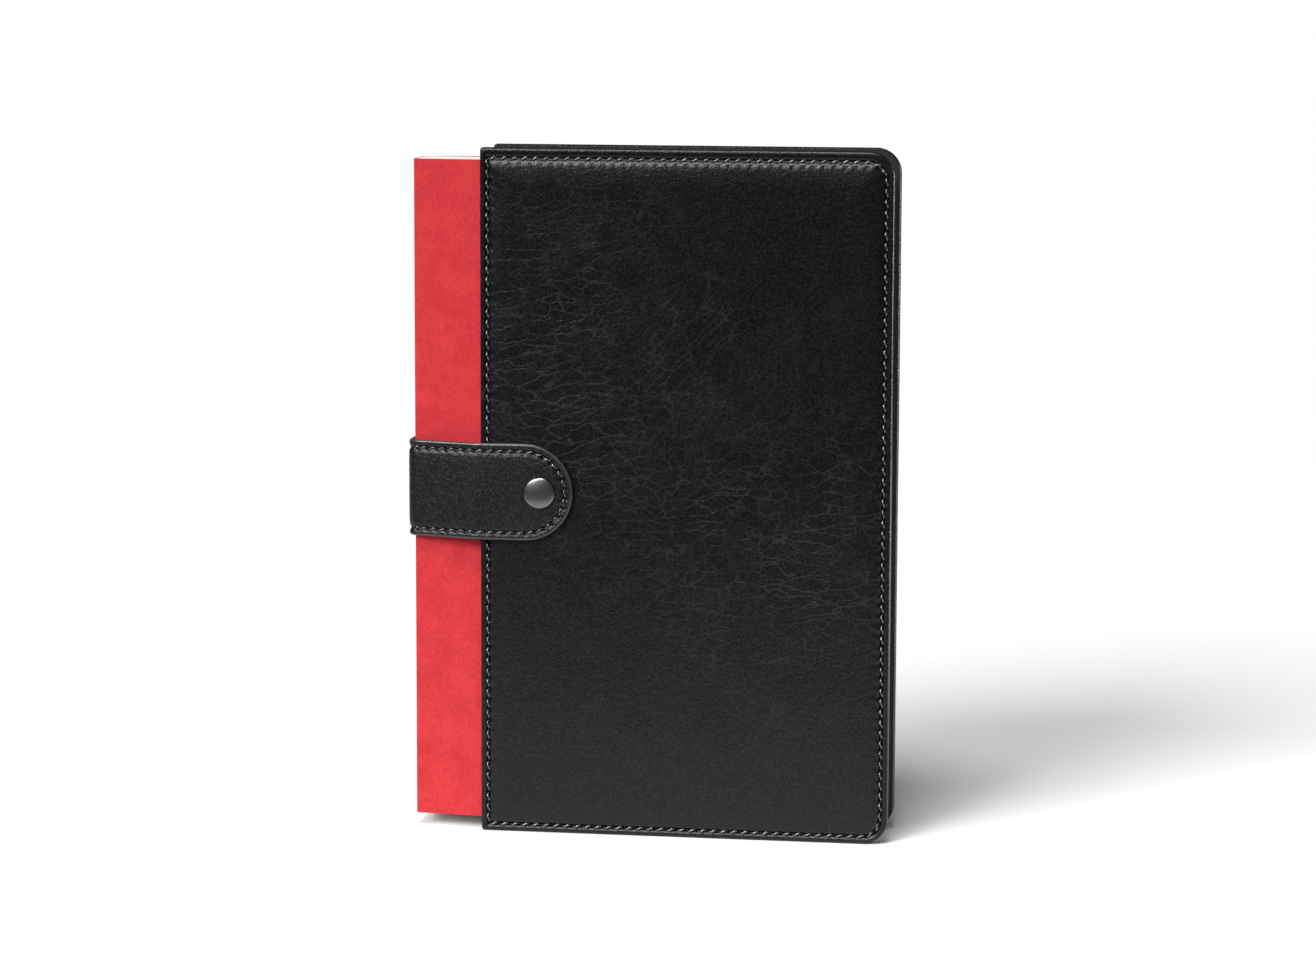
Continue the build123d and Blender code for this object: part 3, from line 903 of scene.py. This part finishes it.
def strap_piece(name, near, far, round_end):
    """A stretch of the strap as one closed form, with its near end round where the strap ends.

    near and far are distances along the strap; a round end is always at near.
    """
    rows, holes = [], []
    for inset, height in STRAP_SECTION:
        runs = strap_runs(near, far, round_end, strap_half - inset, POINTS_PER_STITCH)
        walked, side = (np.concatenate(parts) for parts in zip(*runs))
        # the needle holes sink the strap and also mark where painted shade darkens it
        hole = np.concatenate([
            needle_holes(len(run[0]), inset, STRAP_SEAM_INSET, STRAP_HOLE_REACH) for run in runs
        ])
        hole *= height > STRAP_HOLES_ABOVE
        x, y = strap_path.at(walked, height - hole)
        rows.append(np.column_stack([x, y, strap_z + side]))
        holes.append(hole)
    size = len(rows[0])
    run_length = len(runs[0][0])
    faces, slots = [], []
    for row in range(len(rows) - 1):
        for i in range(row * size, (row + 1) * size):
            if (i - row * size + 1) % run_length:
                faces.append((i, i + 1, i + size + 1, i + size))
                slots.append(strap_slot(row))

    def cut_end(lower, upper):
        """The face that closes an end, from a column of the lower edge to one of the upper."""
        column = np.arange(len(rows)) * size
        return tuple(int(i) for i in (*(column + lower), *(column[::-1] + upper)))

    # the ends that are cut lie inside the strap
    faces.append(cut_end(0, size - 1))
    if not round_end:
        faces.append(cut_end(run_length - 1, run_length)[::-1])
    slots += [EDGE_SLOT] * (len(faces) - len(slots))
    if far > near:
        faces = [tuple(reversed(face)) for face in faces]
    made = make_object(
        name, np.concatenate(rows), faces,
        [materials["strap_leather"], materials["strap_edge"], materials["strap_lining"]],
        slots, np.concatenate(holes),
    )
    weld(made)
    sharpen(made, degrees=50)
    return made


def strap_stitches(name, near, far, round_end):
    """The thread along both edges of a stretch of the strap, and round its end."""
    starts, ends, outs = [], [], []
    seam_radius = strap_half - STRAP_SEAM_INSET
    for walked, side in strap_runs(near, far, round_end, seam_radius, points_per_stitch=1):
        x, y = strap_path.at(walked, STRAP_SEAM_HEIGHT)
        place = np.column_stack([x, y, strap_z + side])
        x_out, y_out = strap_path.at(walked, STRAP_SEAM_HEIGHT + 1.0)
        out = np.column_stack([x_out - x, y_out - y, np.zeros(len(x))])
        starts.append(place[:-1])
        ends.append(place[1:])
        outs.append((out[:-1] + out[1:]) / 2)
    starts, ends, outs = (np.concatenate(parts) for parts in (starts, ends, outs))
    outs /= np.linalg.norm(outs, axis=1)[:, None]
    along = ends - starts
    along /= np.linalg.norm(along, axis=1)[:, None]
    return thread_tubes(name, starts, ends, np.cross(outs, along), outs, **STRAP_THREAD)


def strap_pieces():
    """The strap in three stretches, each spanning one joint; none is fixed to a body or bent."""
    hinge = flap_low.x
    bent = spine_out + BEND_ACROSS
    stretches = (
        ("flap", 0.0, bridge_split, True, "front_cover", "strap_flap",
         (hinge - FLAP_BEND, flap_low.y), (hinge + FLAP_BEND, flap_low.y),
         ["strap_flap"]),
        ("spine", bridge_split, spine_split, False, "notebook", "front_cover",
         (spine_out, spine_low.y + BEND_INSIDE), (bent, spine_low.y - BEND_OUTSIDE),
         ["strap_front_bridge", "strap_spine_run"]),
        ("tab", strap_path.length, spine_split, True, "notebook", "back_cover",
         (spine_out, spine_high.y - BEND_INSIDE), (bent, spine_high.y + BEND_OUTSIDE),
         ["strap_back_bridge", "strap_anchor_tab"]),
    )
    for name, near, far, round_end, body_a, body_b, start, end, runs in stretches:
        start, end = (tuple(c * MM for c in (*place, strap_z)) for place in (start, end))
        piece = strap_piece(f"strap_{name}", near, far, round_end)
        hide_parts(*(f"{run}_{layer}" for run in runs for layer in ("leather", "lining")))
        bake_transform(piece)
        thread = strap_stitches(f"strap_{name}_stitches", near, far, round_end)
        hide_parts(*(f"{run}_stitching" for run in runs))
        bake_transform(thread)


strap_pieces()

# ---- snap cap ----
CAP_HEIGHT = 1.6
CAP_SINK = 0.12          # how far the cap is pressed into the leather
CAP_DOME = 0.9           # the dome's share of the radius
CAP_DOME_DROP = 0.5      # how much the dome has fallen at its rim
CAP_DOME_POWER = 2.2     # a larger power makes the dome flatter in its middle
CAP_DOME_ROWS = 12
CAP_AROUND = 72
# the rolled rim, as a share of the radius and a depth below the top
CAP_RIM = ((0.955, 0.68), (0.985, 0.9), (1.0, 1.15), (0.99, 1.42), (0.95, 1.62), (0.85, 1.68))


def snap_cap():
    """The cap: a shallow dome with a rolled rim."""
    section = []
    for row in range(1, CAP_DOME_ROWS + 1):
        share = row / CAP_DOME_ROWS
        section.append((CAP_DOME * share, CAP_DOME_DROP * share ** CAP_DOME_POWER))
    section.extend(CAP_RIM)
    top_y = flap_y - STRAP_THICKNESS + CAP_SINK - CAP_HEIGHT
    points = [(snap_x, top_y, strap_z)]
    for share, depth in section:
        for angle in 2 * math.pi * np.arange(CAP_AROUND) / CAP_AROUND:
            points.append((
                snap_x + cap_radius * share * math.cos(angle),
                top_y + depth,
                strap_z + cap_radius * share * math.sin(angle),
            ))
    faces = [(0, 1 + k, 1 + (k + 1) % CAP_AROUND) for k in range(CAP_AROUND)]
    last = 1 + (len(section) - 1) * CAP_AROUND
    for first in range(1, last, CAP_AROUND):
        faces += ring_faces(first, CAP_AROUND, flipped=True)
    faces.append(tuple(range(last, last + CAP_AROUND)))
    cap = make_object("snap_cap_dome", points, faces, [materials["dark_nickel"]])
    weld(cap)
    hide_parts("snap_cap")
    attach(cap, "strap_flap")


snap_cap()

# ---- red cover ----
COVER_THICKNESS = 0.6
COVER_LEVELS = 43
COVER_STEP = 1.5
CORNER_STEP = 0.25           # the step is this fine near the corner at the spine
CORNER_STRETCH = 4.0         # within this distance of it
WAVE_HEIGHT = 0.12
WAVE_LENGTH = 30.0
WAVE_FROM = 1.0              # the cover is flat this near its corner
WAVE_TO = 8.0                # and as wavy as it gets this far from it
SPINE_OVERHANG = 0.3         # how far past the CAD spine's sides the cover turns
COVER_CORNER_RADIUS = 1.3
COVER_BEND_RADIUS = 12.0     # where it comes out of a sleeve
COVER_BEND_OUT = 1.0         # how far outside the sleeve that bend's corner is
COVER_BULGE = 0.1            # and how far outside the slot


def red_ribbon(name, low_walk, high_walk, corner_walk):
    """Half of the notebook's cover: a sheet that follows its path, as tall as the notebook."""
    fine = np.arange(low_walk, high_walk, CORNER_STEP)
    walked = np.unique(np.concatenate([
        np.arange(low_walk, high_walk, COVER_STEP),
        fine[np.abs(fine - corner_walk) < CORNER_STRETCH],
        [high_walk],
    ]))
    waviness = smoothstep(WAVE_FROM, WAVE_TO, np.abs(walked - corner_walk))
    levels = np.linspace(spine_low.z, spine_high.z, COVER_LEVELS)
    rows = []
    for z in levels:
        level = np.full(len(walked), z)
        wave = WAVE_HEIGHT * soft_noise(walked, level, WAVE_LENGTH, seed=7.0) * waviness
        for out in (0.0, -COVER_THICKNESS):
            x, y = cover_path.at(walked, out)
            rows.append(np.column_stack([x, y + wave, level]))
    size = len(walked)
    faces = []
    for level in range(COVER_LEVELS - 1):
        outer = 2 * level * size
        inner = outer + size
        outer_up = outer + 2 * size
        inner_up = inner + 2 * size
        for i in range(size - 1):
            faces.append((outer + i, outer + i + 1, outer_up + i + 1, outer_up + i))
            faces.append((inner + i + 1, inner + i, inner_up + i, inner_up + i + 1))
        faces.append((outer, outer_up, inner_up, inner))
        end = size - 1
        faces.append((outer + end, inner + end, inner_up + end, outer_up + end))
    top = 2 * (COVER_LEVELS - 1) * size
    for i in range(size - 1):
        faces.append((i + 1, i, size + i, size + i + 1))
        faces.append((top + i, top + i + 1, top + size + i + 1, top + size + i))
    made = make_object(name, np.concatenate(rows), faces, [materials["red_cover_paper"]])
    weld(made)
    sharpen(made, degrees=40)
    return made


notebook_x = spine_low.x
front_at_spine = spine_low.y - SPINE_OVERHANG
back_at_spine = spine_high.y + SPINE_OVERHANG
cover_path = PlanPath(
    [
        (card_high.x, card_low.y),
        (panel_left - COVER_BEND_OUT, card_low.y - COVER_BULGE),
        (notebook_x, front_at_spine),
        (notebook_x, back_at_spine),
        (panel_left - COVER_BEND_OUT, back_card_face + COVER_BULGE),
        (card_high.x, back_card_face),
    ],
    (COVER_BEND_RADIUS, COVER_CORNER_RADIUS, COVER_CORNER_RADIUS, COVER_BEND_RADIUS),
)
middle_walk = cover_path.nearest(notebook_x, spine_middle)
for name, low, high, corner_y, body, nodes in (
    ("red_front_cover", 0.0, middle_walk, front_at_spine, "front_cover",
     ("notebook_front_cover", "notebook_spine_cover")),
    ("red_back_cover", middle_walk, cover_path.length, back_at_spine, "back_cover",
     ("notebook_back_cover",)),
):
    ribbon = red_ribbon(name, low, high, cover_path.nearest(notebook_x, corner_y))
    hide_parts(*nodes)
    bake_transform(ribbon)

# ---- floor, light and camera ----
FLOOR_RADIUS = 620
FLOOR_CENTRE = (60, 340, 0)
EYE_LENS = 105.2
EYE_RIGHT = 233.98       # from the front sleeve's side at the spine
EYE_AWAY = 1181.97       # from its face
EYE_HEIGHT = 277.43      # above the floor
EYE_DOWN = 7.71          # degrees below level
EYE_TURN = 8.52          # degrees to the left of straight at the face
EYE_ROLL = 0.2           # degrees
WHITE = (1.0, 1.0, 1.0, 1.0)


def floor():
    """A pale round floor; past it the camera sees plain white."""
    bpy.ops.mesh.primitive_circle_add(
        vertices=128, radius=FLOOR_RADIUS * MM, fill_type="NGON",
        location=Vector(FLOOR_CENTRE) * MM,
    )
    disc = bpy.context.object
    disc.name = "floor"
    shader = Shader("pale_floor", Roughness=0.9, Specular_IOR_Level=0.1)
    tone = shader.noise(shader.place(), 90.0, detail=2.0)
    colour = shader.mix_color(tone, (0.86, 0.86, 0.87, 1.0), (0.88, 0.88, 0.88, 1.0))
    shader.set("Base Color", colour)
    disc.data.materials.append(shader.material)


def world():
    """White where the camera looks past the floor, and a weak light from all round."""
    made = bpy.data.worlds.new("studio")
    bpy.context.scene.world = made
    made.use_nodes = True
    tree = made.node_tree
    seen = tree.nodes["Background"]
    lights = tree.nodes.new("ShaderNodeBackground")
    for background, strength in ((seen, 1.0), (lights, 0.12)):
        background.inputs["Color"].default_value = WHITE
        background.inputs["Strength"].default_value = strength
    path = tree.nodes.new("ShaderNodeLightPath")
    mix = tree.nodes.new("ShaderNodeMixShader")
    tree.links.new(path.outputs["Is Camera Ray"], mix.inputs["Fac"])
    tree.links.new(lights.outputs["Background"], mix.inputs[1])
    tree.links.new(seen.outputs["Background"], mix.inputs[2])
    tree.links.new(mix.outputs["Shader"], tree.nodes["World Output"].inputs["Surface"])


def sun(name, toward, strength, softness):
    """A soft light from the side that toward points to, as wide as softness degrees."""
    data = bpy.data.lights.new(name, "SUN")
    data.energy = strength
    data.angle = math.radians(softness)
    lamp = bpy.data.objects.new(name, data)
    lamp.rotation_euler = Vector(toward).to_track_quat("Z", "Y").to_euler()
    bpy.context.scene.collection.objects.link(lamp)


def camera():
    """The viewing place, measured from the front sleeve's lower corner at the spine."""
    data = bpy.data.cameras.new("camera")
    data.sensor_width = 36.0
    data.lens = EYE_LENS
    data.clip_start = 0.05
    data.clip_end = 50
    eye = bpy.data.objects.new("camera", data)
    bpy.context.scene.collection.objects.link(eye)
    eye.location = Vector((panel_left + EYE_RIGHT, front_face - EYE_AWAY, EYE_HEIGHT)) * MM
    eye.rotation_euler = (math.radians(90 - EYE_DOWN), 0.0, math.radians(EYE_TURN))
    eye.rotation_euler.rotate_axis("Z", math.radians(EYE_ROLL))
    bpy.context.scene.camera = eye


floor()
world()
sun("key", toward=(-0.5, -0.86, 0.62), strength=3.4, softness=28)
sun("overhead", toward=(-0.05, -0.45, 1.0), strength=1.8, softness=18)
sun("edge", toward=(1.0, 0.25, 0.02), strength=2.2, softness=16)
camera()
bpy.context.scene.view_settings.view_transform = "Standard"
